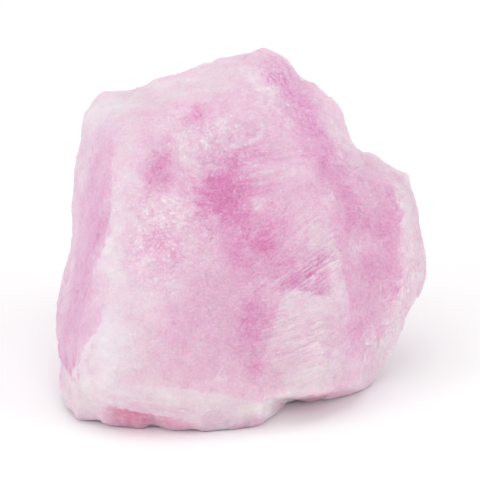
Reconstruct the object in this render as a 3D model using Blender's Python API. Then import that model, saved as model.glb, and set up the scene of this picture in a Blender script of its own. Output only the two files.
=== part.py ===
"""A rough chunk of massive pink aragonite, about 47 mm across, resting on a flat break.

The stone is described with its broad face upright. Each point is (across, up, near) in
millimetres: across to the right, up the broad face, and near towards whoever looks at it.
An outline goes round the chunk. Creases run over its front and its back, and the surface
between creases is nearly flat. The whole chunk is then leaned back and cut off flat where
it rests.
"""

import math

import bmesh
import bpy
from mathutils import Matrix, Vector, noise
from mathutils.geometry import delaunay_2d_cdt

MM = 0.001

# ---- driving dimensions, in millimetres and degrees ----
LEAN_DEG = 25.0  # how far the broad face leans back from upright
REST_LEVEL = -19.5  # where the flat break crosses the mid-depth of the upright chunk
EDGE_BAND = 0.6  # depth of the narrow band where the front meets the back
VOXEL = 0.45  # size of the cells that join the blocks into one skin
EDGE_ROUNDING_PASSES = 3  # smoothing passes that take the knife edge off the creases
TRIANGLE_BUDGET = 9400
SLIVER = 0.05  # the shortest edge left where the resting face is cut

# Broken relief: three sizes of noise laid over the flat faces.
SWELL_SPACING, SWELL_HEIGHT = 12.0, 0.40
FLAKE_SPACING, FLAKE_STEP, FLAKE_TILT = 5.6, 0.15, 0.13
GRIT_SPACING, GRIT_HEIGHT = 2.2, 0.10

SLOPE_SHIFTS = (Vector((7.1, 0.0, 3.3)), Vector((0.4, 9.6, 5.2)), Vector((4.7, 2.9, 8.8)))

STONE_PINK = (0.80, 0.52, 0.67, 1.0)

# ---- the outline, clockwise from the peak ----
OUTLINE = [
    # the chipped shoulder, from the peak down to the notch
    (3.0, 24.5, -7.0),
    (5.8, 22.8, -7.0),
    (7.8, 20.2, -6.0),
    (9.5, 19.8, -5.5),
    (10.8, 18.1, -5.0),
    (12.2, 16.8, -4.5),
    (13.6, 13.2, -4.0),
    (14.9, 11.6, -3.5),
    # the lobe
    (17.4, 10.5, -5.0),
    (19.0, 9.2, -5.0),
    (21.3, 8.2, -5.0),
    (21.7, 5.5, -5.0),
    (22.8, 1.0, -5.5),
    (23.3, -2.0, -6.0),
    (23.4, -4.6, -6.0),
    (22.7, -6.5, -5.5),
    (20.5, -11.1, -4.5),
    (19.9, -12.7, -4.0),
    (17.5, -17.1, -3.0),
    (16.0, -18.9, -2.0),
    # the underside and the jagged step
    (12.2, -19.8, 0.8),
    (8.2, -20.2, 1.5),
    (6.4, -20.0, 2.5),
    (4.0, -22.2, 6.0),
    (2.7, -23.3, 8.0),
    (-3.6, -23.8, 9.0),
    (-6.2, -23.5, 9.0),
    (-8.5, -23.8, 9.0),
    (-10.9, -23.2, 8.5),
    (-12.5, -23.5, 8.5),
    (-16.1, -23.2, 8.5),
    (-20.3, -22.4, 7.0),
    (-22.2, -20.5, 4.0),
    # up the left side
    (-22.7, -18.9, 2.0),
    (-22.7, -15.5, 0.0),
    (-23.4, -12.9, -1.5),
    (-23.2, -10.0, -2.5),
    (-23.4, -8.1, -3.0),
    (-22.7, -6.0, -3.5),
    (-21.4, -1.4, -4.0),
    (-21.0, 1.5, -4.0),
    (-21.1, 5.4, -4.0),
    (-20.9, 9.4, -4.5),
    (-20.0, 12.8, -5.0),
    (-19.8, 15.6, -5.5),
    (-18.4, 18.3, -6.0),
    # along the top
    (-12.3, 19.8, -7.0),
    (-10.4, 20.8, -7.0),
    (-8.9, 20.9, -7.0),
    (-4.2, 22.6, -7.5),
    (0.0, 23.8, -7.5),
]

# ---- creases on the front ----
FRONT_CREASES = {
    "left_ridge": [
        (-16.9, 16.0, -0.5),
        (-15.9, 13.1, 3.5),
        (-15.6, 9.4, 6.2),
        (-15.9, 5.0, 7.8),
        (-16.4, 1.0, 8.8),
        (-17.6, -2.8, 9.4),
        (-18.3, -6.9, 10.0),
        (-19.4, -10.6, 10.6),
        (-20.1, -13.8, 11.0),
        (-20.5, -17.2, 10.6),
    ],
    "ledge_beside_left_ridge": [
        (-15.9, -0.4, 10.0),
        (-15.0, -3.0, 10.8),
        (-15.9, -6.5, 11.6),
        (-17.2, -9.8, 12.0),
        (-18.9, -13.4, 12.2),
        (-19.6, -16.6, 11.8),
    ],
    "top_break": [
        (-15.9, 13.1, 3.5),
        (-11.2, 14.8, 3.5),
        (-6.2, 16.4, 2.6),
        (-1.0, 17.8, 2.6),
        (3.5, 18.1, 2.5),
    ],
    "shoulder_ridge": [
        (0.8, 22.6, -3.0),
        (2.0, 20.6, 0.5),
        (3.5, 18.1, 2.5),
        (6.2, 13.8, 4.5),
        (8.1, 10.0, 6.0),
        (10.2, 5.6, 7.2),
        (11.7, 1.5, 8.0),
        (12.3, -2.5, 8.4),
        (12.8, -6.9, 8.4),
        (13.2, -11.2, 7.9),
        (13.8, -15.0, 6.8),
        (13.8, -18.4, 5.0),
    ],
    "lobe_crease": [
        (14.9, 11.6, -3.5),
        (14.1, 6.9, 1.8),
        (14.6, 2.5, 4.2),
        (15.3, -1.9, 5.2),
        (15.8, -6.2, 5.2),
        (16.0, -10.6, 4.4),
        (15.8, -15.0, 2.9),
    ],
    "lobe_shoulder": [
        (18.1, 7.8, -0.4),
        (19.5, 5.0, 1.2),
        (20.2, 1.2, 2.2),
        (20.5, -2.8, 2.6),
        (20.0, -6.9, 2.4),
        (18.8, -10.6, 1.8),
        (17.4, -14.0, 1.0),
    ],
    "hollow_rim": [
        (-12.2, 12.2, 5.5),
        (-13.4, 9.0, 7.2),
        (-12.4, 5.8, 8.4),
        (-8.8, 4.2, 8.8),
        (-5.0, 3.6, 8.4),
    ],
    "hollow_floor": [
        (-9.9, 10.6, 5.0),
        (-9.6, 7.8, 6.2),
        (-5.4, 9.4, 5.3),
        (-5.0, 13.0, 3.4),
    ],
    "trough": [
        (-1.9, 6.2, 5.4),
        (-0.6, 3.1, 6.8),
        (1.0, -1.2, 8.6),
        (1.5, -6.2, 10.0),
        (2.0, -11.2, 11.0),
        (2.8, -16.2, 11.4),
    ],
    "belly": [
        (-9.0, -1.2, 11.2),
        (-9.4, -7.5, 12.8),
        (-8.2, -13.0, 13.8),
        (-8.5, -18.6, 14.0),
    ],
    "right_block": [
        (4.0, 7.5, 6.2),
        (6.5, 2.0, 8.6),
        (7.2, -5.0, 10.6),
        (7.8, -11.5, 11.2),
        (7.4, -16.0, 10.8),
    ],
    "foot_ridge": [
        (-20.5, -17.2, 10.6),
        (-17.6, -18.4, 12.4),
        (-13.8, -18.8, 13.4),
        (-8.5, -18.6, 14.0),
        (-3.1, -19.0, 13.8),
        (2.2, -19.6, 12.2),
        (6.4, -19.2, 9.8),
        (9.6, -19.2, 8.6),
        (13.8, -18.4, 5.0),
    ],
    "underside_edge": [
        (-20.2, -18.9, 10.0),
        (-16.0, -20.5, 11.6),
        (-12.8, -21.3, 12.0),
        (-9.2, -22.1, 11.8),
        (-5.4, -23.0, 11.0),
    ],
}

# ---- creases on the back ----
BACK_CREASES = {
    "back_top": [
        (-15.0, 14.0, -11.0),
        (-8.5, 16.5, -13.0),
        (-1.5, 19.0, -12.5),
        (4.5, 18.0, -11.0),
        (9.0, 14.0, -10.0),
    ],
    "back_spine": [
        (-1.5, 19.0, -12.5),
        (-3.5, 11.0, -15.5),
        (-5.5, 2.5, -17.0),
        (-4.0, -5.0, -17.5),
        (-5.0, -13.5, -16.5),
        (-4.5, -17.5, -12.0),
    ],
    "back_left": [
        (-15.0, 14.0, -11.0),
        (-17.5, 6.0, -11.5),
        (-16.5, -2.0, -13.0),
        (-18.5, -9.5, -11.0),
        (-17.0, -16.5, -7.0),
    ],
    "back_right": [
        (9.0, 14.0, -10.0),
        (8.5, 6.0, -13.0),
        (16.0, 3.0, -11.5),
        (14.5, -4.0, -13.0),
        (15.5, -11.0, -9.5),
        (11.0, -15.5, -9.0),
    ],
    "back_saddle": [
        (-5.5, 2.5, -17.0),
        (3.0, -1.0, -15.0),
        (8.5, 6.0, -13.0),
    ],
}

# ---- shell-shaped chips knocked off: centre (across, up, near) and radius ----
CHIPS = [
    ((-20.6, -16.6, 13.2), 2.3),
    ((4.6, -21.6, 10.4), 2.2),
    ((8.6, 21.4, -1.6), 3.0),
    ((6.6, 20.6, -0.6), 2.2),
    ((13.2, 16.4, 0.8), 3.2),
    ((-8.6, 22.4, -3.0), 2.6),
    ((20.6, 9.6, -1.4), 2.2),
    ((24.2, -7.6, -1.6), 2.8),
    ((-21.6, 13.6, -1.2), 2.4),
    ((-24.2, -4.2, -1.0), 3.2),
    ((-2.8, 12.6, 10.5), 7.2),
    ((2.6, 8.2, 10.8), 5.0),
    ((-18.8, 2.0, -14.5), 4.0),
    ((3.0, 13.0, -18.5), 5.5),
    ((19.5, -3.5, -14.0), 4.5),
]


def clear_scene():
    for old in list(bpy.data.objects):
        bpy.data.objects.remove(old, do_unlink=True)


def upright(point):
    """The place, in metres, of an (across, up, near) point of the upright chunk."""
    across, up, near = point
    return Vector((across, -near, up)) * MM


def relief_triangles(outline, creases):
    """Triangulates the outline with its creases kept as edges. Returns points and triangles."""
    points = list(outline)
    edges = [(i, (i + 1) % len(outline)) for i in range(len(outline))]
    for crease in creases.values():
        ends = []
        for point in crease:
            if point not in points:
                points.append(point)
            ends.append(points.index(point))
        edges += list(zip(ends, ends[1:]))
    flat = [Vector(point[:2]) for point in points]
    inside_only = 1
    found = delaunay_2d_cdt(flat, edges, [], inside_only, 1e-4)
    made_flat, triangles, sources = found[0], found[2], found[3]
    if len(made_flat) != len(points):
        raise ValueError("two creases cross, or a point lies twice in one place")
    return [points[source[0]] for source in sources], triangles


def add_relief(mesh, creases, side):
    """Adds the front relief (side 1) or the back relief (side -1). Returns its outline corners."""
    points, triangles = relief_triangles(OUTLINE, creases)
    corners = {}
    for point in points:
        across, up, near = point
        if point in OUTLINE:
            near += side * EDGE_BAND / 2
        corners[point] = mesh.verts.new(upright((across, up, near)))
    for triangle in triangles:
        mesh.faces.new([corners[points[index]] for index in triangle])
    return [corners[point] for point in OUTLINE]


def join_reliefs():
    """One closed mesh: the front relief, the back relief and a narrow band between them."""
    mesh = bmesh.new()
    front = add_relief(mesh, FRONT_CREASES, 1)
    back = add_relief(mesh, BACK_CREASES, -1)
    for i in range(len(front)):
        mesh.faces.new((front[i - 1], front[i], back[i], back[i - 1]))
    bmesh.ops.recalc_face_normals(mesh, faces=mesh.faces)
    return mesh


def new_object(name, mesh):
    """Puts a finished bmesh into an object of its own."""
    data = bpy.data.meshes.new(name)
    mesh.to_mesh(data)
    mesh.free()
    made = bpy.data.objects.new(name, data)
    bpy.context.scene.collection.objects.link(made)
    return made


def apply_modifiers(target):
    """Turns the object's modifiers into plain mesh."""
    graph = bpy.context.evaluated_depsgraph_get()
    data = bpy.data.meshes.new_from_object(target.evaluated_get(graph))
    target.modifiers.clear()
    target.data = data


def knock_chips(stone):
    """Cuts a ball-shaped flake out of the stone for each entry of CHIPS."""
    cutters = []
    for centre, radius in CHIPS:
        ball = bmesh.new()
        bmesh.ops.create_icosphere(ball, subdivisions=3, radius=radius * MM)
        bmesh.ops.translate(ball, verts=ball.verts, vec=upright(centre))
        cutter = new_object("chip_cutter", ball)
        cutters.append(cutter)
        cut = stone.modifiers.new("chip", "BOOLEAN")
        cut.operation = "DIFFERENCE"
        cut.solver = "EXACT"
        cut.object = cutter
    apply_modifiers(stone)
    for cutter in cutters:
        bpy.data.objects.remove(cutter)


def make_one_skin(stone):
    """Joins everything into one even skin and takes the knife edge off the creases."""
    skin = stone.modifiers.new("skin", "REMESH")
    skin.mode = "VOXEL"
    skin.voxel_size = VOXEL * MM
    rounding = stone.modifiers.new("rounding", "SMOOTH")
    rounding.factor = 0.5
    rounding.iterations = EDGE_ROUNDING_PASSES
    apply_modifiers(stone)


def flake_offset(place):
    """Steps and tilts of broken flakes: each cell is a flat patch with its own slope."""
    centre = noise.voronoi(place / FLAKE_SPACING)[1][0]
    level = noise.noise(centre * 3.7) * FLAKE_STEP
    slope = Vector([noise.noise(centre * 2.3 + shift) for shift in SLOPE_SHIFTS])
    tilt = slope.dot(place - centre * FLAKE_SPACING) * FLAKE_TILT
    return level + tilt


def rough_height(place):
    """Height in millimetres of the broken relief at a place given in millimetres."""
    swell = noise.fractal(place / SWELL_SPACING, 1.0, 2.0, 2) * SWELL_HEIGHT
    grit = noise.fractal(place / GRIT_SPACING, 0.7, 2.1, 3) * GRIT_HEIGHT
    return swell + flake_offset(place) + grit


def roughen(stone):
    """Moves each point of the skin along its normal by the broken relief."""
    skin = bmesh.new()
    skin.from_mesh(stone.data)
    skin.normal_update()
    moves = [vertex.normal * rough_height(vertex.co / MM) * MM for vertex in skin.verts]
    for vertex, move in zip(skin.verts, moves):
        vertex.co += move
    skin.to_mesh(stone.data)
    skin.free()


def thin_out(stone):
    """Collapses triangles where the skin is flat, down to the budget."""
    triangulated = stone.modifiers.new("triangles", "TRIANGULATE")
    triangulated.min_vertices = 4
    apply_modifiers(stone)
    fewer = stone.modifiers.new("fewer", "DECIMATE")
    fewer.ratio = TRIANGLE_BUDGET / len(stone.data.polygons)
    apply_modifiers(stone)


def drop_slivers(stone):
    """Closes up the hair-thin triangles that a cut leaves along its edge."""
    mesh = bmesh.new()
    mesh.from_mesh(stone.data)
    bmesh.ops.remove_doubles(mesh, verts=mesh.verts, dist=SLIVER * MM)
    bmesh.ops.dissolve_degenerate(mesh, edges=mesh.edges, dist=SLIVER * MM)
    bmesh.ops.triangulate(mesh, faces=[face for face in mesh.faces if len(face.verts) > 3])
    mesh.to_mesh(stone.data)
    mesh.free()


def lean_back_and_rest(stone):
    """Leans the chunk back, cuts it flat where it rests and puts the origin under its middle."""
    lean = Matrix.Rotation(-math.radians(LEAN_DEG), 4, "X")
    rest_height = REST_LEVEL * MM * math.cos(math.radians(LEAN_DEG))
    stone.data.transform(Matrix.Translation((0.0, 0.0, -rest_height)) @ lean)
    block = bmesh.new()
    bmesh.ops.create_cube(block, size=100.0 * MM)
    bmesh.ops.translate(block, verts=block.verts, vec=(0.0, 0.0, -50.0 * MM))
    cutter = new_object("rest_cutter", block)
    cut = stone.modifiers.new("rest", "BOOLEAN")
    cut.operation = "DIFFERENCE"
    cut.solver = "EXACT"
    cut.object = cutter
    triangulated = stone.modifiers.new("triangles", "TRIANGULATE")
    triangulated.min_vertices = 4
    apply_modifiers(stone)
    bpy.data.objects.remove(cutter)
    drop_slivers(stone)
    across = [vertex.co.x for vertex in stone.data.vertices]
    along = [vertex.co.y for vertex in stone.data.vertices]
    middle = ((min(across) + max(across)) / 2, (min(along) + max(along)) / 2)
    stone.data.transform(Matrix.Translation((-middle[0], -middle[1], 0.0)))


def stone_material():
    """Massive pink aragonite: waxy, pale rose and not metallic."""
    made = bpy.data.materials.new("pink_aragonite")
    made.use_nodes = True
    shader = made.node_tree.nodes["Principled BSDF"]
    shader.inputs["Base Color"].default_value = STONE_PINK
    shader.inputs["Roughness"].default_value = 0.5
    shader.inputs["Metallic"].default_value = 0.0
    return made


def main():
    clear_scene()
    stone = new_object("aragonite_chunk", join_reliefs())
    knock_chips(stone)
    make_one_skin(stone)
    roughen(stone)
    thin_out(stone)
    lean_back_and_rest(stone)
    stone.data.materials.clear()
    stone.data.materials.append(stone_material())


main()
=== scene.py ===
"""A rough chunk of massive pink aragonite on a pale floor, dressed on its CAD solid.

The file is laid out as a Blender add-on. Its panel, in the 3D view's sidebar, lists one
operator that dresses the stone and one that builds the stage round it.

The stone's look is described on its broad face, held upright: across to the right, up the
face and near, out of the face, all in millimetres.
"""

import math

import bmesh
import bpy
import numpy as np
from mathutils import Matrix, Vector, noise
from mathutils.bvhtree import BVHTree


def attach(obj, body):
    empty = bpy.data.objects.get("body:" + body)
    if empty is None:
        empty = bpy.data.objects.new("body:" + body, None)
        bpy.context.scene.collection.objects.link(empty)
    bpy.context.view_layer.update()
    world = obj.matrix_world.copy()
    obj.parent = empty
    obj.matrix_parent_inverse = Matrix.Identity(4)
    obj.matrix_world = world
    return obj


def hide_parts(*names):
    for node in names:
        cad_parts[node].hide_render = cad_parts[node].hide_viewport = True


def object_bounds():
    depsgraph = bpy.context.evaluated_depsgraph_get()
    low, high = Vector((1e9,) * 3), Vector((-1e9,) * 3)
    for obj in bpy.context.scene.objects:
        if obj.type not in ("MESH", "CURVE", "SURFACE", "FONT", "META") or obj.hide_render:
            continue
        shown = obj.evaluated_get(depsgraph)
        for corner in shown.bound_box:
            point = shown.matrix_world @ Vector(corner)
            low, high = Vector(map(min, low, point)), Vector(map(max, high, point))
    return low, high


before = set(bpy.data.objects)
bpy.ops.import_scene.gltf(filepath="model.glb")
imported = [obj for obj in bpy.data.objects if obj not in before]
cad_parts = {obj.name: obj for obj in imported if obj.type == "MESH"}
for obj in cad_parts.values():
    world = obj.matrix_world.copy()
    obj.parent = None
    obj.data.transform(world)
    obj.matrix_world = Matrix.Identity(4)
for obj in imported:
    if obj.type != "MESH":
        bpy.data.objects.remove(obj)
CAD_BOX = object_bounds()

bl_info = {
    "name": "Aragonite chunk",
    "version": (1, 0, 0),
    "blender": (4, 5, 0),
    "location": "3D View > Sidebar > Aragonite",
    "description": "Dresses the aragonite chunk and builds a pale stage round it",
    "category": "Object",
}

MM = 0.001
STONE_NODE = "aragonite_chunk"
PIECE_NAME = "aragonite_surface"

# The broad face leans back by this much. The three values below it place the origin of the
# face's own axes, in millimetres.
LEAN = math.radians(25.0)
FACE_ACROSS_MM = 0.125
FACE_UP_MM = -16.28
FACE_NEAR_MM = -6.9

# The amount of rose everywhere, which the zones and steps add to: 0 is white and 1 the
# densest pink.
ROSE_ALL_OVER = 0.37

# Rose zones: where the manganese pink is densest. Negative strength is a white, clouded zone.
# name: (across, up, half length, half width, turn in degrees, strength)
COLOUR_ZONES = {
    # the heart of the front, and the bands that lead away from it
    "heart": (-2.0, 5.2, 3.6, 2.2, -35, 0.70),
    "heart top": (-1.3, 8.9, 2.2, 1.3, 25, 0.31),
    "heart right": (1.8, 6.8, 3.0, 0.9, -4, 0.39),
    "below heart": (2.2, 0.0, 4.2, 2.4, -44, 0.36),
    "below heart core": (3.2, -0.6, 1.6, 1.1, 20, 0.22),
    "far right of heart": (6.2, 5.8, 2.4, 0.9, 5, 0.12),
    "heart low": (-3.2, 2.4, 2.6, 1.6, -30, 0.25),
    "heart low end": (-3.5, 0.2, 1.0, 0.8, 0, 0.10),
    "below heart gap": (-1.1, 1.4, 1.1, 0.9, 0, -0.27),
    "below heart right": (2.2, 1.0, 1.0, 0.8, 0, -0.12),
    "below heart foot": (0.4, -3.5, 1.9, 1.3, 0, 0.18),
    "left of below heart": (-0.6, -1.6, 3.0, 1.3, -75, 0.24),
    "right of heart": (5.8, 2.2, 2.2, 1.8, -30, 0.34),
    "gash": (7.5, -4.6, 2.4, 0.8, 38, 0.44),
    "gash foot": (3.6, -5.4, 1.8, 1.0, 38, 0.16),
    "gash low": (9.6, -5.6, 1.8, 0.9, 8, 0.25),
    "gash fibres": (9.9, -3.9, 0.9, 0.5, 38, -0.13),
    "gash high": (8.6, -2.8, 1.8, 0.8, 38, 0.14),
    "gash left": (5.7, -2.2, 2.6, 1.4, 38, 0.25),
    "column": (-0.6, -9.0, 7.0, 2.6, -85, 0.09),
    "lower band": (1.8, -10.8, 3.2, 2.0, -85, 0.32),
    "lower band foot": (2.2, -16.2, 2.2, 1.5, -20, 0.18),
    "belly": (-5.2, -11.6, 5.5, 4.0, 0, 0.13),
    "column gap": (2.9, -13.6, 1.0, 0.7, -80, -0.11),
    "belly high": (-3.6, -6.4, 3.0, 1.6, 0, 0.10),
    "high spot": (-5.3, 15.9, 1.1, 0.9, 0, 0.46),
    "beside hollow": (-10.0, 8.7, 3.0, 1.4, 70, 0.42),
    "below hollow": (-8.1, 6.8, 1.5, 1.0, 0, 0.14),
    "left of belly": (-9.1, -0.7, 1.8, 1.1, -45, 0.35),
    "crushed gap": (-12.0, 0.1, 1.0, 0.8, 0, -0.11),
    "under the top": (1.5, 11.4, 3.4, 2.6, 0, 0.19),
    "upper fibres": (2.8, 10.7, 2.4, 0.7, -2, 0.12),
    # the chipped shoulder and the lobe
    "shoulder high": (4.6, 21.0, 2.6, 1.4, -45, 0.29),
    "shoulder middle": (8.2, 16.2, 4.2, 1.7, -60, 0.37),
    "shoulder low": (10.4, 9.8, 3.8, 1.7, -60, 0.38),
    "shoulder inner": (9.6, 9.3, 1.1, 0.6, -60, 0.12),
    "shoulder foot": (11.2, 2.2, 1.3, 0.6, 75, 0.12),
    "lobe": (16.2, 0.5, 7.5, 3.6, -75, 0.24),
    "lobe core": (18.4, 1.2, 2.6, 1.2, -80, 0.12),
    "lobe spot": (14.6, -0.4, 1.4, 0.8, 80, -0.16),
    "lobe high": (18.8, 4.4, 2.6, 1.3, -75, 0.16),
    "lobe left": (13.8, 3.8, 3.4, 1.5, -80, 0.18),
    "lobe low": (16.4, -5.0, 3.0, 2.4, -80, 0.15),
    "lobe low side": (19.0, -5.6, 1.8, 1.0, -70, 0.12),
    "lobe foot": (14.5, -11.2, 3.2, 1.8, -70, 0.36),
    # the left face
    "left face high": (-17.2, 10.0, 5.0, 1.5, 80, 0.12),
    "left face middle": (-18.6, 2.0, 5.0, 1.8, 82, 0.25),
    "left face low": (-20.8, -9.0, 6.0, 2.1, 80, 0.24),
    "left chip": (-21.2, -16.2, 1.4, 0.7, 85, 0.16),
    "left chip side": (-22.6, -15.8, 1.2, 0.5, 80, -0.11),
    # clouded white: the top, and the seam between the left face and the front
    "top left corner": (-17.0, 16.6, 4.2, 2.2, 35, -0.34),
    "top left edge": (-13.8, 18.9, 1.8, 0.6, 12, 0.13),
    "top front spot": (-10.0, 15.8, 1.1, 0.8, 0, 0.11),
    "top edge": (-9.0, 19.4, 6.0, 1.5, 14, -0.12),
    "top edge left": (-10.8, 20.0, 1.6, 0.8, 14, -0.20),
    "front high": (-8.1, 14.4, 2.2, 1.4, -40, -0.10),
    "top slope": (-3.0, 20.5, 4.0, 1.6, 16, -0.16),
    "peak side": (5.9, 22.3, 1.6, 0.7, -45, -0.16),
    "top slope foot": (-2.0, 18.6, 1.2, 0.6, 0, 0.10),
    "peak streak": (1.2, 20.3, 1.6, 0.7, -55, -0.28),
    "peak flash": (3.6, 18.3, 1.4, 0.45, -40, -0.26),
    "face seam": (-14.4, 8.0, 6.0, 1.2, 90, -0.12),
    "seam spot": (-14.8, 2.4, 1.6, 0.8, 80, -0.18),
    "ledge tip": (-15.8, -2.4, 2.0, 1.3, 90, -0.17),
    "ledge": (-15.8, -8.0, 4.5, 1.5, 85, -0.18),
    "ledge right": (-13.5, -5.4, 1.6, 0.9, 80, -0.10),
    "lower left": (-16.8, -15.0, 4.2, 2.6, 80, -0.34),
    "lower left inner": (-13.0, -13.5, 5.0, 2.0, 88, -0.14),
    "left rim": (-20.4, 5.0, 10.0, 0.9, 83, -0.16),
    # clouded white: the foot
    "belly left": (-10.8, -9.8, 3.2, 2.0, 60, -0.10),
    "foot left": (-20.0, -20.0, 2.5, 2.0, 0, -0.20),
    "foot left edge": (-21.6, -18.0, 2.2, 0.9, 80, -0.18),
    "foot rim": (-11.0, -19.4, 7.0, 1.8, -3, -0.15),
    "foot rim right": (-2.5, -20.8, 6.0, 1.5, -6, -0.17),
    "foot lump": (3.0, -20.6, 3.0, 0.9, 25, -0.30),
    "foot end": (5.0, -21.0, 1.6, 0.8, 40, -0.22),
    # clouded white: the right block, the ridge and the lobe's rim
    "frost right": (8.6, 1.0, 2.6, 1.6, -10, -0.12),
    "upper right": (6.5, 8.9, 3.0, 1.2, 5, -0.10),
    "upper streak": (6.5, 11.0, 1.2, 0.5, 20, -0.11),
    "lens": (1.2, 4.3, 2.0, 0.7, 12, -0.38),
    "lower right": (8.8, -11.8, 5.0, 3.2, 80, -0.15),
    "lower right foot": (9.0, -17.2, 3.4, 1.4, 25, -0.24),
    "right ridge": (12.3, -5.5, 4.0, 0.7, -80, -0.14),
    "lobe tip": (20.4, 6.2, 2.2, 1.1, -60, -0.09),
    "lobe corner": (20.4, 8.2, 1.4, 0.8, -40, -0.18),
    "lobe rim edge": (22.8, -5.5, 4.0, 0.6, 76, -0.20),
    "lobe side edge": (22.2, -6.3, 1.3, 0.5, 70, -0.12),
    "lobe edge low": (18.2, -14.0, 5.0, 1.3, 62, -0.15),
    "lobe top edge": (16.9, 10.5, 3.5, 1.0, -25, -0.17),
    "shoulder edge": (12.7, 13.6, 4.0, 1.1, -62, -0.15),
    # clouded white: the crushed left half of the front
    "crushed patch": (-9.4, 4.4, 3.0, 1.6, 0, -0.14),
    "crushed patch low": (-10.2, -2.4, 2.6, 2.0, -50, -0.06),
    "front left high": (-13.4, 11.4, 2.5, 2.5, 0, -0.06),
    "hollow side": (-6.6, 10.4, 2.4, 1.1, -70, -0.12),
    "hollow side pink": (-5.3, 9.5, 0.9, 0.5, -50, 0.13),
    "hollow hook": (2.9, 13.0, 0.9, 0.6, 60, 0.11),
    "hollow pink": (-4.0, 12.9, 1.4, 1.0, 0, 0.08),
    "hollow flakes": (-5.1, 8.3, 1.1, 0.5, -10, -0.26),
}

# Crisp steps in colour, where one break ends against another. A path runs up the face or to
# the right, and each of its places is (across, up, weight). Rose changes on both its sides.
# name: (reach, strength to the left or above, strength to the right or below, path)
COLOUR_STEPS = {
    "face seam": (
        1.8, 0.10, -0.10,
        ((-16.6, 0.6, 0.3), (-16.2, 3.0, 1.0), (-16.0, 8.0, 1.0), (-15.9, 14.0, 0.0)),
    ),
    "ledge tip": (
        2.0, 0.10, -0.20,
        ((-19.6, -8.0, 0.0), (-18.3, -4.2, 0.7), (-17.3, -1.8, 1.0), (-16.4, 0.3, 1.0)),
    ),
    "ledge flake": (
        1.3, -0.08, 0.0,
        (
            (-14.9, -4.4, 0.2), (-14.7, -3.3, 0.8), (-14.1, -1.8, 1.0), (-15.4, -1.2, 1.0),
            (-16.1, 0.2, 1.0),
        ),
    ),
    "lower ledge": (
        3.0, 0.11, -0.16,
        (
            (-19.8, -17.8, 0.4), (-20.1, -16.0, 0.9), (-19.9, -14.6, 1.0), (-19.2, -13.2, 1.0),
            (-17.5, -10.8, 1.0), (-16.6, -6.8, 0.3),
        ),
    ),
    "left chip": (
        0.8, 0.26, -0.28,
        (
            (-22.4, -15.2, 0.8), (-21.7, -16.2, 1.0), (-21.1, -16.9, 1.0), (-20.7, -15.6, 1.0),
            (-20.3, -14.2, 0.4),
        ),
    ),
    "left splinter": (
        0.5, -0.20, 0.30,
        ((-20.0, -18.0, 0.3), (-20.1, -17.2, 1.0), (-20.3, -16.2, 0.6), (-20.3, -15.0, 0.0)),
    ),
    "gash foot": (
        2.0, 0.12, -0.18,
        (
            (5.4, -6.3, 0.3), (7.7, -6.4, 1.0), (9.0, -6.5, 1.0), (10.1, -6.9, 1.0),
            (11.2, -6.2, 0.2),
        ),
    ),
    "column side": (
        2.2, 0.06, -0.14,
        (
            (2.4, -16.6, 0.2), (3.4, -13.0, 1.0), (4.3, -10.4, 1.0), (4.8, -8.2, 1.0),
            (5.7, -6.5, 0.4),
        ),
    ),
    "lobe hook": (
        0.9, 0.18, -0.12,
        (
            (19.9, 1.0, 0.3), (20.2, 2.4, 1.0), (20.9, 3.6, 1.0), (19.9, 4.2, 1.0),
            (19.4, 5.6, 0.8), (18.9, 6.8, 0.2),
        ),
    ),
    "lobe rim": (
        2.0, 0.05, -0.09,
        (
            (17.2, -13.8, 0.3), (18.5, -10.2, 1.0), (19.5, -7.2, 1.0), (20.7, -3.8, 1.0),
            (20.1, -0.6, 1.0), (20.2, 2.8, 1.0), (19.5, 6.0, 1.0), (18.1, 7.3, 0.1),
        ),
    ),
    "hollow curl": (
        0.34, -0.38, -0.38,
        (
            (-0.3, 11.7, 0.4), (1.2, 12.3, 0.9), (2.2, 12.8, 1.0), (2.8, 13.7, 0.9),
            (2.6, 14.7, 0.3),
        ),
    ),
    "hollow chip": (
        0.32, -0.44, -0.44,
        ((-3.9, 9.0, 0.6), (-3.0, 8.9, 1.0), (-2.1, 9.2, 0.5)),
    ),
    "block ridge": (
        1.5, -0.11, 0.11,
        ((14.0, -11.0, 0.0), (13.7, -7.8, 1.0), (12.9, -4.0, 1.0), (12.2, -0.6, 0.3)),
    ),
    "belly foot": (
        2.4, 0.06, -0.12,
        ((-12.0, -18.0, 0.0), (-8.6, -18.2, 1.0), (-5.2, -18.6, 1.0), (1.2, -19.9, 0.6)),
    ),
}

# Crushed, sugary patches, where the break runs through the grain: the same kind of entries.
SUGAR_ZONES = {
    "all round": (-2.0, 3.0, 15.0, 13.0, 0, 0.16),
    "hollow": (-3.2, 12.4, 5.6, 3.2, -25, 0.80),
    "beside the peak": (4.2, 18.6, 3.4, 1.8, -45, 0.60),
    "left middle": (-9.2, 3.4, 5.4, 3.6, -25, 0.68),
    "left of centre": (-10.0, -2.6, 3.6, 2.6, -60, 0.70),
    "heart": (-1.0, 4.6, 3.6, 3.0, -40, 0.35),
    "lobe": (17.0, 0.0, 6.0, 3.4, -75, 0.30),
    "lobe tip": (20.6, 4.4, 4.4, 1.8, -75, 0.50),
    "lobe side": (20.0, -7.6, 7.0, 1.8, 70, 0.90),
    "lobe foot": (15.4, -14.0, 4.0, 2.0, 50, 0.40),
    "shoulder": (8.4, 15.8, 8.0, 2.0, -56, 0.60),
    "shoulder high": (5.0, 20.2, 3.2, 2.0, -45, 0.50),
    "foot": (3.6, -20.0, 3.0, 1.6, 20, 0.60),
}

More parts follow.
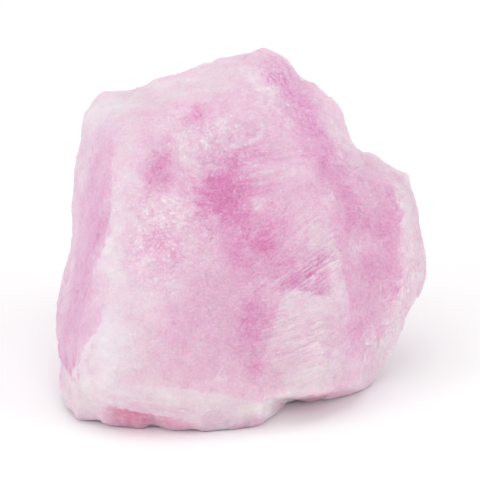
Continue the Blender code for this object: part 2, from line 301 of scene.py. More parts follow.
# Where the pink runs to lilac, and with negative strength to a warmer rose: the same entries.
LILAC_ZONES = {
    "left face": (-19.6, -1.0, 16.0, 2.6, 84, 1.00),
    "top left corner": (-17.5, 15.5, 4.0, 2.6, 40, 0.60),
    "peak": (4.0, 20.0, 4.0, 3.0, -40, 0.70),
    "gash": (8.0, -4.0, 4.0, 3.0, 20, 0.40),
    "lobe tip": (20.0, 5.0, 4.0, 2.0, -75, 0.40),
    "shoulder": (10.0, 13.5, 8.0, 2.6, -58, 0.70),
    "upper front": (0.0, 10.5, 8.0, 4.5, 0, 0.50),
    "seam": (-15.2, -3.0, 14.0, 2.0, 88, 0.75),
    "lower left": (-17.0, -13.0, 4.5, 2.6, 80, 0.50),
    "foot left": (-20.6, -19.5, 2.4, 2.0, 0, -0.70),
    "belly foot": (-2.0, -15.8, 8.0, 2.2, -3, -0.50),
    "foot": (-5.0, -20.2, 18.0, 1.8, -3, -0.60),
    "right underside": (10.0, -18.0, 5.0, 1.4, 8, -0.60),
    "lobe rim": (22.0, -3.0, 7.0, 0.9, -88, -0.20),
}

# Painted shade: zones made darker and greyer, mostly along the outline, and with negative
# strength painted light, zones made brighter: the same entries.
PAINTED_SHADE_AND_LIGHT_ZONES = {
    "lobe tip": (20.8, 6.0, 2.6, 1.2, -65, 1.00),
    "lobe high": (17.5, 9.6, 3.5, 1.0, -25, 0.50),
    "lobe rim": (22.4, -2.0, 8.0, 0.8, -88, 0.50),
    "peak": (2.0, 22.6, 2.0, 1.2, -20, 0.40),
    "peak side": (6.4, 20.9, 3.0, 0.6, -52, 0.40),
    "left edge": (-20.9, 6.0, 8.0, 0.6, 84, 0.50),
    "foot left": (-20.6, -20.2, 2.2, 1.6, -30, 0.70),
    "peak flash": (3.6, 18.3, 2.2, 1.4, -40, 0.50),
    "left low": (-21.8, -15.5, 4.5, 1.0, 88, 0.50),
    "top left edge": (-13.8, 18.9, 1.8, 0.6, 12, 0.60),
    "left bulge": (-22.8, -6.5, 4.0, 0.6, 80, 0.70),
    "left face low": (-20.6, -9.0, 6.0, 1.8, 80, 0.30),
    "top left corner": (-17.2, 16.6, 4.0, 2.4, 35, 0.40),
    "seam": (-15.0, 5.0, 6.0, 1.4, 90, 0.25),
    "lower right foot": (9.0, -17.4, 3.8, 1.4, 20, 0.45),
    "lobe side": (20.4, -8.5, 3.6, 1.1, 68, 0.30),
    "lobe side low": (17.8, -13.6, 3.8, 1.4, 56, 0.50),
    "lobe face": (17.6, 5.4, 4.0, 2.4, -75, 0.25),
    "belly left": (-10.8, -9.8, 3.0, 1.8, 60, -0.35),
    "belly": (-2.6, -9.2, 4.0, 1.8, 88, 0.25),
    "gash": (10.0, -4.3, 1.6, 1.3, 0, -1.00),
    "crushed patch": (-12.4, -3.2, 3.2, 1.6, 90, -0.40),
    "top slope": (-5.5, 20.8, 4.5, 1.2, 16, -0.40),
    "lower right": (9.5, -14.0, 2.0, 1.4, 0, -0.40),
}

# Beds of parallel fibres, where the break runs along the crystals: the same kind of entries,
# and then the fibres' own turn on the broad face.
FIBRE_BEDS = {
    "gash": (9.0, -3.8, 3.4, 1.8, 34, 2.60, 36),
    "right block": (6.2, -1.4, 5.5, 4.0, 35, 0.90, 38),
    "lower right": (7.6, -12.5, 5.0, 4.5, 20, 0.90, 21),
    "upper middle": (3.4, 9.6, 4.6, 3.4, 10, 0.55, 9),
    "left face": (-19.2, -2.0, 14.0, 2.2, 84, 0.30, 83),
    "foot": (-13.0, -20.4, 10.0, 1.4, -5, 0.50, -7),
    "heart": (-2.0, 4.6, 4.6, 3.0, -38, 0.40, 78),
    "beside hollow": (-10.2, 8.4, 3.4, 1.8, 70, 0.55, 66),
    "lobe": (14.0, 3.0, 6.0, 2.2, -80, 0.25, 86),
    "column": (1.0, -9.5, 6.0, 2.4, -85, 0.40, 62),
}

# Thin places under the foot that let warm light through: the same kind of entries as the
# steps in colour.
RUBY_STEPS = {
    "foot": (
        3.2, 0.0, 0.92,
        (
            (-17.6, -20.6, 0.0), (-15.5, -20.7, 0.7), (-13.6, -21.2, 1.0), (-11.8, -21.6, 0.8),
            (-9.8, -21.8, 0.6), (-7.4, -22.3, 0.4), (-4.7, -23.0, 0.1), (-2.4, -23.4, 0.1),
            (0.2, -22.8, 0.3), (2.6, -22.1, 0.3), (3.4, -21.6, 0.0),
        ),
    ),
    "right underside": (
        1.6, 0.0, 0.80,
        ((6.4, -20.0, 1.0), (9.0, -19.3, 0.9), (11.5, -18.9, 0.5), (14.6, -18.7, 0.0)),
    ),
}


def linear(hex_colour):
    """An sRGB hex colour as linear red, green, blue and alpha."""
    channels = [int(hex_colour[i : i + 2], 16) / 255 for i in (0, 2, 4)]
    low = [c / 12.92 if c <= 0.04045 else ((c + 0.055) / 1.055) ** 2.4 for c in channels]
    return (*low, 1.0)


def colour_property(name, hex_colour, description):
    """A colour swatch whose default is an sRGB hex colour."""
    return bpy.props.FloatVectorProperty(
        name=name,
        description=description,
        subtype="COLOR",
        size=4,
        min=0.0,
        max=1.0,
        default=linear(hex_colour),
    )


def length_property(name, millimetres, description):
    """A length whose default is given in millimetres."""
    return bpy.props.FloatProperty(
        name=name,
        description=description,
        default=millimetres * MM,
        min=0.0,
        precision=5,
        unit="LENGTH",
        subtype="DISTANCE",
    )


def power_property(name, watts, description):
    """The power of a light."""
    return bpy.props.FloatProperty(
        name=name,
        description=description,
        default=watts,
        min=0.0,
        unit="POWER",
    )


class StoneSettings(bpy.types.PropertyGroup):
    """Sizes and colours of the stone's surface."""

    cell: length_property("Skin cell", 0.29, "Size of the cells of the finished skin")
    flake_spacing: length_property("Flake spacing", 2.4, "Width of the larger broken facets")
    flake_height: length_property("Flake height", 0.12, "How far the larger facets tilt")
    grain_spacing: length_property("Grain spacing", 0.85, "Width of one sugary crystal grain")
    grain_height: length_property("Grain height", 0.07, "How far the grains tilt")
    fibre_spacing: length_property("Fibre spacing", 0.55, "Distance between fibre grooves")
    fibre_height: length_property("Fibre height", 0.10, "Depth of the fibre grooves")
    rounding: bpy.props.IntProperty(
        name="Edge rounding",
        description="Smoothing passes that soften the solid's facets",
        default=10,
        min=0,
    )
    front_rounding: bpy.props.IntProperty(
        name="Front rounding",
        description="Further passes on the worn ridges round the broad face",
        default=220,
        min=0,
    )
    glint: colour_property("Glint", "F2ECEF", "Crystal ends that catch the light")
    frost: colour_property("Frost", "E9DDE2", "Clouded white aragonite")
    blush: colour_property("Blush", "E4C6D7", "The palest pink")
    rose: colour_property("Rose", "DFABCA", "The usual pink")
    heart: colour_property("Heart", "D98AB9", "The densest pink")
    ruby: colour_property("Ruby", "D47A98", "Light that has come through the thin foot")
    translucency: bpy.props.FloatProperty(
        name="Translucency",
        description="Share of the light that goes into the stone and comes out beside",
        default=0.85,
        min=0.0,
        max=1.0,
        subtype="FACTOR",
    )
    light_reach: length_property("Light reach", 3.0, "How far light travels inside the stone")


class StageSettings(bpy.types.PropertyGroup):
    """The floor, the light and the camera."""

    floor_colour: colour_property("Floor", "FEFEFE", "Pale seamless floor")
    sky_strength: bpy.props.FloatProperty(
        name="Surrounding light",
        description="Strength of the even light from all round",
        default=0.66,
        min=0.0,
    )
    overhead_power: power_property(
        "Overhead light", 0.27, "Power of the large soft light over the stone"
    )
    side_power: power_property(
        "Side lights", 0.8, "Power of the soft lights beside and behind, before their shares"
    )
    low_power: power_property(
        "Low light", 0.22, "Power of the soft light in front that reaches under the foot"
    )
    camera_height: bpy.props.FloatProperty(
        name="Camera elevation",
        description="How far above level the camera looks down from",
        default=math.radians(25.0),
        subtype="ANGLE",
    )
    framed_width: length_property("Framed width", 60.0, "Width that the camera takes in")
    focal_length: bpy.props.FloatProperty(
        name="Focal length",
        description="Lens of the camera, in millimetres on a 36 mm sensor",
        default=800.0,
        min=1.0,
        unit="CAMERA",
    )


# ---- the stone's shape ----

# Corners of the solid's loose triangles are joined where they are this close, in metres.
MERGE_REACH = 1e-6

# A ridge is worn by WEAR_RISE times how squarely it faces out of the broad face, less
# WEAR_START. The foot stays crisp: wear grows from none at this height to full at twice it.
WEAR_RISE = 3.0
WEAR_START = 0.8
CRISP_FOOT_MM = 5.0

# Crisp steps fade this fast where the surface turns side on, and the back begins where it
# faces forwards by less than this.
FRONT_FADE = 4.0
BACK_BEGINS = 0.3

# A zone's middle is looked for on the stone's surface from this far in front of it. The
# zone fades this fast from there, and these are its half depths into the stone.
PROBE_MM = 40.0
ZONE_FADE = 0.8
COLOUR_DEPTH_MM = 7.0
SOFT_DEPTH_MM = 9.0
FIBRE_DEPTH_MM = 6.0

# Noise that lets edges wander: its spacing, how far it moves the zones, how far it moves the
# crisp steps, all in millimetres, and its two seeds.
WANDER = (
    (3.2, 0.80, 0.15, (3.1, 8.4)),
    (1.1, 0.35, 0.12, (5.7, 11.2)),
    (0.6, 0.20, 0.12, (14.3, 17.8)),
)

# Broad clouds of rose: spacing in millimetres, seed, octaves, and their strength in front
# and how much more of it there is behind, where no zones are laid.
BROAD_CLOUDS = (7.0, 21.0, 3)
CLOUDS_IN_FRONT = 0.06
CLOUDS_BEHIND = 0.24

# The back is sugary all over by this much, and sugary patches have clouds of their own.
SUGAR_BEHIND = 0.5
SUGAR_CLOUDS = (2.5, 30.0)
SUGAR_CLOUDING = 0.2

# An edge counts as bruised, and gets painted edge light, when it stands this far proud after
# so many smoothing passes; a crease sunk as far gets painted shade.
BRUISE_AND_SHADING_PASSES = 24
BRUISE_AND_SHADING_MM = 0.22


def face_axes():
    """Unit directions of the broad face: across, up the face, and near, out of the face."""
    across = np.array((1.0, 0.0, 0.0))
    up = np.array((0.0, math.sin(LEAN), math.cos(LEAN)))
    near = np.array((0.0, -math.cos(LEAN), math.sin(LEAN)))
    return across, up, near


def face_places(places):
    """Turns places in metres into (across, up, near) on the broad face, in millimetres."""
    shift = np.array((FACE_ACROSS_MM, FACE_UP_MM, FACE_NEAR_MM))
    return places @ np.array(face_axes()).T / MM + shift


def world_place(across, up, near):
    """The place in metres of an (across, up, near) place on the broad face."""
    shift = np.array((FACE_ACROSS_MM, FACE_UP_MM, FACE_NEAR_MM))
    return (np.array((across, up, near)) - shift) @ np.array(face_axes()) * MM


def evaluated_mesh(source):
    """The mesh that an object's modifiers give."""
    graph = bpy.context.evaluated_depsgraph_get()
    return bpy.data.meshes.new_from_object(source.evaluated_get(graph))


def mesh_array(mesh, field, size=3):
    """A field of the mesh's vertices as an array."""
    values = np.empty(len(mesh.vertices) * size, np.float32)
    mesh.vertices.foreach_get(field, values)
    return values.reshape(-1, size).astype(float)


def skin_of_solid(settings):
    """An even, softened skin over the CAD solid, as a new object."""
    merged = bmesh.new()
    merged.from_mesh(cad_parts[STONE_NODE].data)
    bmesh.ops.remove_doubles(merged, verts=merged.verts, dist=MERGE_REACH)
    mesh = bpy.data.meshes.new(PIECE_NAME)
    merged.to_mesh(mesh)
    merged.free()
    stone = bpy.data.objects.new(PIECE_NAME, mesh)
    bpy.context.scene.collection.objects.link(stone)
    cells = stone.modifiers.new("cells", "REMESH")
    cells.mode = "VOXEL"
    cells.voxel_size = settings.cell
    softened = stone.modifiers.new("softened", "SMOOTH")
    softened.iterations = settings.rounding
    stone.data = evaluated_mesh(stone)
    stone.modifiers.clear()
    wear_ridges(stone, settings.front_rounding)
    return stone


def wear_ridges(stone, passes):
    """Rounds the ridges round the broad face, and leaves the outline and the foot crisp."""
    facing = mesh_array(stone.data, "normal") @ face_axes()[2]
    height = mesh_array(stone.data, "co")[:, 2] / MM
    above_foot = np.clip((height - CRISP_FOOT_MM) / CRISP_FOOT_MM, 0.0, 1.0)
    weights = np.clip(WEAR_RISE * facing - WEAR_START, 0.0, 1.0) * above_foot
    worn = stone.vertex_groups.new(name="worn")
    for index, weight in enumerate(weights):
        if weight > 0.0:
            worn.add((index,), weight, "REPLACE")
    rounded = stone.modifiers.new("rounded", "SMOOTH")
    rounded.vertex_group = worn.name
    rounded.iterations = passes
    stone.data = evaluated_mesh(stone)
    stone.modifiers.clear()
    stone.vertex_groups.clear()


def store(mesh, name, values):
    """Keeps one number for each vertex under a name that materials and nodes can read."""
    layer = mesh.attributes.new(name, "FLOAT", "POINT")
    layer.data.foreach_set("value", np.asarray(values, np.float32))


def noise_at(places, spacing, seed, octaves=2):
    """Smooth noise from about -1 to 1 at each place, both in millimetres."""
    offset = Vector((seed, 2.7 * seed, -1.3 * seed))
    scaled = places / spacing
    return np.array([noise.fractal(Vector(p) + offset, 1.0, 2.0, octaves) for p in scaled])


def zone_amount(face, tree, zones, half_depth):
    """Sum of the named soft zones at each place of the face, laid on the stone's surface."""
    total = np.zeros(len(face))
    near_axis = face_axes()[2]
    for across, up, half_length, half_width, turn, strength in zones.values():
        start = world_place(across, up, PROBE_MM)
        hit = tree.ray_cast(Vector(start), Vector(-near_axis))[0]
        near = face_places(np.array(hit)[None, :])[0][2] if hit else 0.0
        turned = math.radians(turn)
        dx, dy = face[:, 0] - across, face[:, 1] - up
        along = dx * math.cos(turned) + dy * math.sin(turned)
        aside = dy * math.cos(turned) - dx * math.sin(turned)
        deep = (face[:, 2] - near) / half_depth
        spread = (along / half_length) ** 2 + (aside / half_width) ** 2 + deep**2
        total += strength * np.exp(-ZONE_FADE * spread)
    return total


def step_amount(face, steps):
    """Sum of the crisp steps at each place of the face. Each fades away from its path."""
    total = np.zeros(len(face))
    for reach, left, right, path in steps.values():
        nearest = np.full(len(face), np.inf)
        amount = np.zeros(len(face))
        for start, end in zip(np.array(path[:-1]), np.array(path[1:])):
            run = (end - start)[:2]
            offset = face[:, :2] - start[:2]
            share = np.clip(offset @ run / (run @ run), 0.0, 1.0)
            away = np.linalg.norm(offset - share[:, None] * run, axis=1)
            turned_left = run[0] * offset[:, 1] > run[1] * offset[:, 0]
            weight = start[2] + share * (end[2] - start[2])
            here = weight * np.where(turned_left, left, right)
            closer = away < nearest
            nearest[closer] = away[closer]
            amount[closer] = here[closer]
        total += amount * np.exp(-((nearest / reach) ** 2))
    return total


def edge_sharpness(mesh, passes):
    """How far each vertex stands proud of its surroundings, in millimetres."""
    places = mesh_array(mesh, "co") / MM
    ends = np.empty(len(mesh.edges) * 2, np.int32)
    mesh.edges.foreach_get("vertices", ends)
    first, second = ends.reshape(-1, 2).T
    count = np.bincount(ends, minlength=len(places))[:, None]
    smooth = places.copy()
    for _ in range(passes):
        total = np.zeros_like(smooth)
        for axis in range(3):
            total[:, axis] += np.bincount(first, smooth[second, axis], len(places))
            total[:, axis] += np.bincount(second, smooth[first, axis], len(places))
        smooth = total / count
    return np.einsum("ij,ij->i", places - smooth, mesh_array(mesh, "normal"))


def wandering(face):
    """The face's places, moved a little for the soft zones and less for the crisp steps."""
    zone_drift = np.zeros((len(face), 2))
    step_drift = np.zeros((len(face), 2))
    for spacing, zone_shift, step_shift, seeds in WANDER:
        drift = np.stack([noise_at(face, spacing, seed) for seed in seeds], axis=1)
        zone_drift += zone_shift * drift
        step_drift += step_shift * drift
    bent, crisp = face.copy(), face.copy()
    bent[:, :2] += zone_drift
    crisp[:, :2] += step_drift
    return bent, crisp


def lay_out_zones(mesh):
    """Stores how rose, lilac, sugary, fibrous, bruised and ruby each place is, and where shade
    and light are painted, on the bruised edges too.
    """
    face = face_places(mesh_array(mesh, "co"))
    facing = mesh_array(mesh, "normal") @ face_axes()[2]
    in_front = np.clip(FRONT_FADE * facing, 0.0, 1.0)
    behind = np.clip(BACK_BEGINS - facing, 0.0, 1.0)
    tree = BVHTree.FromPolygons(
        [v.co for v in mesh.vertices], [p.vertices[:] for p in mesh.polygons]
    )
    bent, crisp = wandering(face)

    rose = zone_amount(bent, tree, COLOUR_ZONES, COLOUR_DEPTH_MM)
    rose += in_front * step_amount(crisp, COLOUR_STEPS)
    rose += (CLOUDS_IN_FRONT + CLOUDS_BEHIND * behind) * noise_at(bent, *BROAD_CLOUDS)
    store(mesh, "rose", ROSE_ALL_OVER + rose)
    store(mesh, "coarse", behind)
    store(mesh, "lilac", zone_amount(bent, tree, LILAC_ZONES, SOFT_DEPTH_MM))
    # Painted shade and light: darker where the amount is positive, brighter where it is
    # negative.
    thin = zone_amount(face, tree, PAINTED_SHADE_AND_LIGHT_ZONES, SOFT_DEPTH_MM)
    store(mesh, "thin", np.clip(thin, -1.0, 1.0))
    sugar = zone_amount(bent, tree, SUGAR_ZONES, SOFT_DEPTH_MM) + SUGAR_BEHIND * behind
    sugar += SUGAR_CLOUDING * noise_at(face, *SUGAR_CLOUDS)
    store(mesh, "sugar", np.clip(sugar, 0.0, 1.0))
    for name, bed in FIBRE_BEDS.items():
        strength = zone_amount(bent, tree, {name: bed[:6]}, FIBRE_DEPTH_MM)
        store(mesh, f"fibre {name}", strength)
    # Bruised ridges, partly painted edge light, and creases, painted shade.
    bruise_and_painted_shading = edge_sharpness(mesh, BRUISE_AND_SHADING_PASSES) / BRUISE_AND_SHADING_MM
    store(mesh, "bruise_and_painted_shading", np.clip(bruise_and_painted_shading, -1.0, 1.0))
    ruby = in_front * step_amount(crisp, RUBY_STEPS)
    store(mesh, "ruby", np.clip(ruby, 0.0, 1.0))


# ---- patterns that the relief and the material share, on places in millimetres ----

# Fibres are drawn out to this share of their own frequency along, across and into the face.
FIBRE_STRETCH = (0.06, 1.0, 0.5)

# The range of the noise that is combed out to full fibres and full grooves.
COMBED_FROM, COMBED_TO = 0.36, 0.64


def add(tree, kind, inputs=(), **settings):
    """Adds a node. Inputs pair a socket's name or number with a value, a socket or a node."""
    made = tree.nodes.new(kind)
    for name, value in settings.items():
        setattr(made, name, value)
    for socket, value in inputs:
        if isinstance(value, bpy.types.Node):
            value = value.outputs[0]
        if isinstance(value, bpy.types.NodeSocket):
            tree.links.new(value, made.inputs[socket])
        else:
            made.inputs[socket].default_value = value
    return made


def clouds(tree, place, spacing, detail, strength, below):
    """Adds smooth clouds of this spacing to what lies below."""
    cloud = add(
        tree,
        "ShaderNodeTexNoise",
        [("Vector", place), ("Scale", 1.0 / spacing), ("Detail", detail)],
    )
    centred = add(tree, "ShaderNodeMath", [(0, cloud), (1, 0.5)], operation="SUBTRACT")
    values = [(0, centred), (1, strength), (2, below)]
    return add(tree, "ShaderNodeMath", values, operation="MULTIPLY_ADD")


def fibre_turn(degrees):
    """The turn that lays fibres at this angle on the broad face along X."""
    across, up, near = face_axes()
    turned = math.radians(degrees)
    along = across * math.cos(turned) + up * math.sin(turned)
    aside = up * math.cos(turned) - across * math.sin(turned)
    return Matrix((along, aside, near)).to_euler()


def strands(tree, place, spacing, turn, where, detail):
    """Parallel fibres far longer than they are apart, from -1 to 1, in their own bed."""
    turned = add(
        tree,
        "ShaderNodeVectorRotate",
        [("Vector", place), ("Rotation", fibre_turn(turn))],
        rotation_type="EULER_XYZ",
    )
    stretched = add(
        tree,
        "ShaderNodeVectorMath",
        [(0, turned), (1, FIBRE_STRETCH)],
        operation="MULTIPLY",
    )
    scale = add(tree, "ShaderNodeMath", [(0, 1.0), (1, spacing)], operation="DIVIDE")
    fibre = add(
        tree,
        "ShaderNodeTexNoise",
        [("Vector", stretched), ("Scale", scale), ("Detail", detail), ("Roughness", 0.6)],
    )
    span = [("From Min", COMBED_FROM), ("From Max", COMBED_TO), ("To Min", -1.0)]
    combed = add(
        tree,
        "ShaderNodeMapRange",
        [("Value", fibre), *span],
        interpolation_type="SMOOTHSTEP",
    )
    return add(tree, "ShaderNodeMath", [(0, combed), (1, where)], operation="MULTIPLY")


def tilted_facets(tree, place, spacing, height, seed):
    """Flat facets of this width, each tilted its own way, as a height in millimetres."""
    scale = add(tree, "ShaderNodeMath", [(0, 1.0), (1, spacing)], operation="DIVIDE")
    moved = add(tree, "ShaderNodeVectorMath", [(0, place), (1, seed)])
    cells = add(tree, "ShaderNodeTexVoronoi", [("Vector", moved), ("Scale", scale)])
    from_middle = add(
        tree,
        "ShaderNodeVectorMath",
        [(0, moved), (1, cells.outputs["Position"])],
        operation="SUBTRACT",
    )
    slope = add(
        tree,
        "ShaderNodeVectorMath",
        [(0, cells.outputs["Color"]), (1, (0.5, 0.5, 0.5))],
        operation="SUBTRACT",
    )
    tilt = add(
        tree,
        "ShaderNodeVectorMath",
        [(0, from_middle), (1, slope)],
        operation="DOT_PRODUCT",
    ).outputs["Value"]
    steepness = add(tree, "ShaderNodeMath", [(0, height), (1, scale)], operation="MULTIPLY")
    rise = add(tree, "ShaderNodeMath", [(0, tilt), (1, steepness)], operation="MULTIPLY")
    return add(tree, "ShaderNodeMath", [(0, rise), (1, 2.0)], operation="MULTIPLY")


# ---- the relief ----

LENGTHS = (
    "Flake spacing", "Flake height", "Grain spacing", "Grain height", "Fibre spacing",
    "Fibre height",
)
RELIEF_SEED = 0.37

# How much deeper the flakes are behind, the share of the grains' height outside the sugary
# patches, and the most that a fibre bed counts for.
FLAKES_BEHIND = 2.0
GRAINS_ANYWHERE = 0.15
FIBRE_RELIEF_MOST = 0.5


def relief_tree(finish):
    """Geometry nodes that break the even skin into flakes, sugary grains and fibres."""
    tree = bpy.data.node_groups.new("broken relief", "GeometryNodeTree")
    face = tree.interface
    face.new_socket("Geometry", in_out="INPUT", socket_type="NodeSocketGeometry")
    for name in (*LENGTHS, "Seed"):
        face.new_socket(name, in_out="INPUT", socket_type="NodeSocketFloat")
    face.new_socket("Geometry", in_out="OUTPUT", socket_type="NodeSocketGeometry")
    given = add(tree, "NodeGroupInput").outputs
    in_mm = {}
    for name in LENGTHS:
        in_mm[name] = add(
            tree,
            "ShaderNodeMath",
            [(0, given[name]), (1, 1.0 / MM)],
            operation="MULTIPLY",
        )
    place = add(
        tree,
        "ShaderNodeVectorMath",
        [(0, add(tree, "GeometryNodeInputPosition")), ("Scale", 1.0 / MM)],
        operation="SCALE",
    )
    rise = flakes_and_grains(tree, place, in_mm, given["Seed"])
    for name, bed in FIBRE_BEDS.items():
        bed_here = add(tree, "GeometryNodeInputNamedAttribute", [("Name", f"fibre {name}")])
        where = add(
            tree,
            "ShaderNodeMath",
            [(0, bed_here), (1, FIBRE_RELIEF_MOST)],
            operation="MINIMUM",
        )
        fibres = strands(tree, place, in_mm["Fibre spacing"], bed[6], where, 1.0)
        rise = add(
            tree,
            "ShaderNodeMath",
            [(0, fibres), (1, in_mm["Fibre height"]), (2, rise)],
            operation="MULTIPLY_ADD",
        )
    rise = add(tree, "ShaderNodeMath", [(0, rise), (1, MM)], operation="MULTIPLY")
    move = add(
        tree,
        "ShaderNodeVectorMath",
        [(0, add(tree, "GeometryNodeInputNormal")), ("Scale", rise)],
        operation="SCALE",
    )
    moved = add(
        tree,
        "GeometryNodeSetPosition",
        [("Geometry", given["Geometry"]), ("Offset", move)],
    )
    real = add(tree, "GeometryNodeRealizeInstances", [("Geometry", moved)])
    faced = add(
        tree,
        "GeometryNodeSetMaterial",
        [("Geometry", real), ("Material", finish)],
    )
    add(tree, "NodeGroupOutput", [(0, faced)])
    return tree


def flakes_and_grains(tree, place, in_mm, seed):
    """Large flakes, deeper behind, with small sugary grains on them, as a height."""
    sugar = add(tree, "GeometryNodeInputNamedAttribute", [("Name", "sugar")])
    coarse = add(tree, "GeometryNodeInputNamedAttribute", [("Name", "coarse")])
    flakes = tilted_facets(tree, place, in_mm["Flake spacing"], in_mm["Flake height"], seed)
    deeper = add(
        tree,
        "ShaderNodeMath",
        [(0, coarse), (1, FLAKES_BEHIND), (2, 1.0)],
        operation="MULTIPLY_ADD",
    )
    rise = add(tree, "ShaderNodeMath", [(0, flakes), (1, deeper)], operation="MULTIPLY")
    grains = tilted_facets(tree, place, in_mm["Grain spacing"], in_mm["Grain height"], seed)
    rough = add(
        tree,
        "ShaderNodeMath",
        [(0, sugar), (1, 1.0 - GRAINS_ANYWHERE), (2, GRAINS_ANYWHERE)],
        operation="MULTIPLY_ADD",
    )
    return add(
        tree,
        "ShaderNodeMath",
        [(0, grains), (1, rough), (2, rise)],
        operation="MULTIPLY_ADD",
    )


def break_surface(stone, settings, finish):
    """Gives the skin its relief and turns it into plain mesh."""
    tree = relief_tree(finish)
    relief = stone.modifiers.new("broken relief", "NODES")
    relief.node_group = tree
    values = {name: getattr(settings, name.lower().replace(" ", "_")) for name in LENGTHS}
    values["Seed"] = RELIEF_SEED
    for item in tree.interface.items_tree:
        if item.in_out == "INPUT" and item.name in values:
            relief[item.identifier] = values[item.name]
    stone.data = evaluated_mesh(stone)
    stone.modifiers.clear()
    stone.data.name = PIECE_NAME


def keep_in_box(stone):
    """Rests the stone flat on the floor and keeps it within the solid's box."""
    places = mesh_array(stone.data, "co")
    low, high = np.array(CAD_BOX[0]), np.array(CAD_BOX[1])
    places = np.clip(places, low, high)
    stone.data.vertices.foreach_set("co", places.astype(np.float32).ravel())
    stone.data.update()
    stone.data.polygons.foreach_set("use_smooth", [True] * len(stone.data.polygons))


# ---- the stone's material ----

# Clouds, mottling and grain in the pink: their spacings in millimetres and how much rose each
# brings. The grain shows more where it is rose, and a little where it is white. The crystals
# are about 0.1 mm across, and the grain is drawn as coarse as it takes to show.
CLOUD_MM, CLOUD_ROSE = 2.5, 0.45
MOTTLE_MM, MOTTLE_ROSE = 0.9, 0.30
GRAIN_MM, GRAIN_ROSE, GRAIN_IN_WHITE = 0.36, 0.17, 0.05

# Real fibres are 0.05 to 0.1 mm wide. They are drawn coarser, as wide as it takes to show,
# and the stone has less rose on them than between them.
FIBRE_MM, FIBRE_ROSE = 0.36, -0.13

# Bruised edges lose this much rose, partly as painted edge light, and sunken creases gain as
# much as painted shade.
BRUISE_AND_SHADING_ROSE = -0.02

# Sugary patches: the widths in millimetres of crushed grains, curled flakes, flecks and
# glints, how much each whitens, and the share of cells with a fleck or a glint. Between
# crushed grains are pink seams, as a share of a grain wide.
CRUSHED_MM, CRUSHED_WHITE = (1.1, 0.5), 0.26
SEAM_WIDTH, SEAM_ROSE, GRAIN_MIDDLE = 0.22, 0.7, 0.12
FLAKE_MM, FLAKE_WHITE = 1.8, 0.36
FLECK_MM, FLECK_WHITE, FLECK_ANYWHERE, FLECK_SHARE = 0.6, 0.5, 0.10, 0.10
GLINT_MM, GLINT_WHITE, GLINT_SHARE = 0.26, 0.2, 0.02

# A fleck's soft edge, its full white core and the width of a curled flake's white edge, as
# shares of a cell, and the range of the noise that picks which edges are lifted.
FLECK_EDGE, FLECK_CORE = 0.55, 0.15
CURL_WIDTH = 0.07
LIFTED_FROM, LIFTED_TO = 0.48, 0.62

# The colours' places along the rose amount, from the whitest glint at -LOWEST_ROSE.
LOWEST_ROSE = 0.30
FROST_AT, BLUSH_AT, ROSE_AT = 0.0, 0.33, 0.66

# The ruby glow comes through in patches of this spacing and contrast round a middle amount.
RUBY_MM, RUBY_CONTRAST, RUBY_MIDDLE = 0.8, 1.6, 0.85

# What lilac adds to red, green and blue, and what painted shade, painted light and crushed
# places do to brightness.
LILAC_CAST = (-0.006, -0.006, 0.026)
PAINTED_SHADE_STRENGTH, CRUSHED_BRIGHTER = -0.09, 0.03

# Painted light and shade on the crystal faces, drawn coarser than they are so that they
# show: their width in millimetres and how much they differ in the pink and in the white.
PAINTED_FACET_LIGHT_MM, PAINTED_FACET_LIGHT_IN_ROSE, PAINTED_FACET_LIGHT_IN_WHITE = 0.32, 0.50, 0.07

# The finest bump: its spacing and its depth in millimetres, and the fibres' share in it.
ENDS_MM, BUMP_DEPTH_MM, FIBRE_BUMP = 0.18, 0.12, 0.3

# Aragonite's mean refractive index, and a broken face that is almost matt. Red light goes
# the furthest into pink stone, and green the least.
ARAGONITE_IOR = 1.63
BROKEN_ROUGHNESS = 0.5
BROKEN_SPECULAR = 0.25
REACH_BY_COLOUR = (1.0, 0.5, 0.7)


def torn_place(tree, place, scale, detail, reach):
    """The place shifted by noise of this many clouds to the millimetre. Tears cells' edges."""
    wander = add(
        tree,
        "ShaderNodeTexNoise",
        [("Vector", place), ("Scale", scale), ("Detail", detail)],
    )
    values = [(0, wander.outputs["Color"]), (1, (reach,) * 3), (2, place)]
    return add(tree, "ShaderNodeVectorMath", values, operation="MULTIPLY_ADD")


def whitened(tree, mark, strength, below):
    """Takes rose away from what lies below, where there is a mark."""
    whiter = add(tree, "ShaderNodeMath", [(0, mark), (1, strength)], operation="MULTIPLY")
    return add(tree, "ShaderNodeMath", [(0, below), (1, whiter)], operation="SUBTRACT")


def white_flecks(tree, place, spacing, share, strength, below):
    """Whitens a share of the crystal grains of this width, each a soft-edged blob."""
    cells = add(tree, "ShaderNodeTexVoronoi", [("Vector", place), ("Scale", 1.0 / spacing)])
    chance = add(tree, "ShaderNodeSeparateColor", [(0, cells.outputs["Color"])])
    picked = add(
        tree,
        "ShaderNodeMapRange",
        [("Value", chance), ("From Min", 1.0 - share), ("From Max", 1.0)],
    )
    span = [("From Min", FLECK_EDGE), ("From Max", FLECK_CORE)]
    body = add(
        tree,
        "ShaderNodeMapRange",
        [("Value", cells.outputs["Distance"]), *span],
        interpolation_type="SMOOTHSTEP",
    )
    fleck = add(tree, "ShaderNodeMath", [(0, picked), (1, body)], operation="MULTIPLY")
    return whitened(tree, fleck, strength, below)


